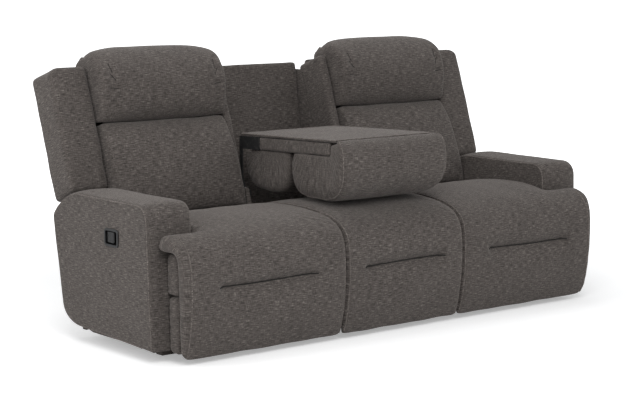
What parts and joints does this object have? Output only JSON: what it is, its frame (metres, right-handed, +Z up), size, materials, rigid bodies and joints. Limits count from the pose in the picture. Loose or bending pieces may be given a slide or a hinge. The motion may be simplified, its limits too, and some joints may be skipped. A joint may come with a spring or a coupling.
{
  "type": "reclining sofa with drop down console",
  "caption": "Three-seat fabric sofa whose outer seats recline with rising footrests, and whose middle back folds down into a console.",
  "frame": {"origin": "centre of the sofa's bounding box, on the floor", "axes": "X runs along the sofa, positive to the side seen on the right from the front; -Y is the front; Z is up"},
  "size_m": [2.134, 1.0202, 1.0639],
  "materials": {
    "tweed": "soft tweed upholstery over foam",
    "board": "plain sawn board",
    "covered_board": "board covered in the same tweed",
    "steel": "black enamel",
    "spring_steel": "plain spring wire",
    "black_plastic": "satin black",
    "glide": "black"
  },
  "bodies": {
    "base": {"base_front_rail": "board", "base_rear_rail": "board", "floor_glides": "glide", "rear_skirt": "covered_board", "middle_seat_frame": "board", "middle_seat_cushion": "tweed", "middle_front_pad": "tweed", "rear_panel": "covered_board", "panel_struts": "board", "left_centre_divider": "board", "left_arm_frame": "board", "left_arm_pad": "tweed", "left_arm_outer_panel": "covered_board", "left_handle_bezel": "black_plastic", "left_seat_guides": "steel", "right_centre_divider": "board", "right_arm_frame": "board", "right_arm_pad": "tweed", "right_arm_outer_panel": "covered_board", "right_handle_bezel": "black_plastic", "right_seat_guides": "steel"},
    "left_seat": {"left_mech_plates": "steel", "left_seat_rails": "board", "left_seat_springs": "spring_steel", "left_seat_cushion": "tweed"},
    "left_footrest": {"left_footrest_pad": "tweed", "left_footrest_flap": "covered_board", "left_footrest_box": "covered_board", "left_footrest_brackets": "steel"},
    "left_crank": {"left_crank_frame": "steel"},
    "left_carry": {"left_carry_links": "steel"},
    "left_back": {"left_back_frame": "board", "left_back_rear_cover": "covered_board", "left_lumbar_cushion": "tweed", "left_head_cushion": "tweed", "left_outer_wing": "tweed", "left_inner_wing": "tweed"},
    "left_lever": {"left_handle_lever": "black_plastic"},
    "right_seat": {"right_mech_plates": "steel", "right_seat_rails": "board", "right_seat_springs": "spring_steel", "right_seat_cushion": "tweed"},
    "right_footrest": {"right_footrest_pad": "tweed", "right_footrest_flap": "covered_board", "right_footrest_box": "covered_board", "right_footrest_brackets": "steel"},
    "right_crank": {"right_crank_frame": "steel"},
    "right_carry": {"right_carry_links": "steel"},
    "right_back": {"right_back_frame": "board", "right_back_rear_cover": "covered_board", "right_lumbar_cushion": "tweed", "right_head_cushion": "tweed", "right_outer_wing": "tweed", "right_inner_wing": "tweed"},
    "right_lever": {"right_handle_lever": "black_plastic"},
    "console": {"console_top": "covered_board", "console_board": "board", "console_straps": "steel", "console_lumbar_pillow": "tweed", "console_head_pillow": "tweed"}
  },
  "joints": [
    {"name": "left_recline", "type": "hinge", "parent": "base", "child": "left_back", "pos_m": [-0.58, 0.193, 0.38], "axis": [-1, 0, 0], "range_deg": [0, 30]},
    {"name": "left_seat_slide", "type": "slide", "parent": "base", "child": "left_seat", "axis": [0, -1, 0], "range_m": [0, 0.0601]},
    {"name": "left_footrest_hinge", "type": "hinge", "parent": "left_seat", "child": "left_footrest", "pos_m": [-0.58, -0.496, 0.388], "axis": [-1, 0, 0], "range_deg": [0, 90]},
    {"name": "left_crank_turn", "type": "hinge", "parent": "left_seat", "child": "left_crank", "pos_m": [-0.58, -0.262, 0.322], "axis": [-1, 0, 0], "range_deg": [0, 108.1]},
    {"name": "left_carry_turn", "type": "hinge", "parent": "left_crank", "child": "left_carry", "pos_m": [-0.58, -0.09602, 0.1271], "axis": [-1, 0, 0], "range_deg": [-104.4, 0]},
    {"name": "left_release_pull", "type": "hinge", "parent": "base", "child": "left_lever", "pos_m": [-1.058, -0.091, 0.4175], "axis": [0, 0, -1], "range_deg": [0, 35], "stiffness_Nm_per_rad": 0.05},
    {"name": "right_recline", "type": "hinge", "parent": "base", "child": "right_back", "pos_m": [0.58, 0.193, 0.38], "axis": [-1, 0, 0], "range_deg": [0, 30]},
    {"name": "right_seat_slide", "type": "slide", "parent": "base", "child": "right_seat", "axis": [0, -1, 0], "range_m": [0, 0.0601]},
    {"name": "right_footrest_hinge", "type": "hinge", "parent": "right_seat", "child": "right_footrest", "pos_m": [0.58, -0.496, 0.388], "axis": [-1, 0, 0], "range_deg": [0, 90]},
    {"name": "right_crank_turn", "type": "hinge", "parent": "right_seat", "child": "right_crank", "pos_m": [0.58, -0.262, 0.322], "axis": [-1, 0, 0], "range_deg": [0, 108.1]},
    {"name": "right_carry_turn", "type": "hinge", "parent": "right_crank", "child": "right_carry", "pos_m": [0.58, -0.09602, 0.1271], "axis": [-1, 0, 0], "range_deg": [-104.4, 0]},
    {"name": "right_release_pull", "type": "hinge", "parent": "base", "child": "right_lever", "pos_m": [1.058, -0.091, 0.4175], "axis": [0, 0, 1], "range_deg": [0, 35], "stiffness_Nm_per_rad": 0.05},
    {"name": "console_hinge", "type": "hinge", "parent": "base", "child": "console", "pos_m": [0, 0.168, 0.475], "axis": [-1, 0, 0], "range_deg": [0, 96]}
  ],
  "couplings": [
    {"joint": "left_seat_slide", "follows": "left_recline", "m_per_rad": 0.11459},
    {"joint": "left_crank_turn", "follows": "left_footrest_hinge", "ratio": 1.2005},
    {"joint": "left_carry_turn", "follows": "left_footrest_hinge", "ratio": -1.1594},
    {"joint": "right_seat_slide", "follows": "right_recline", "m_per_rad": 0.11459},
    {"joint": "right_crank_turn", "follows": "right_footrest_hinge", "ratio": 1.2005},
    {"joint": "right_carry_turn", "follows": "right_footrest_hinge", "ratio": -1.1594}
  ]
}
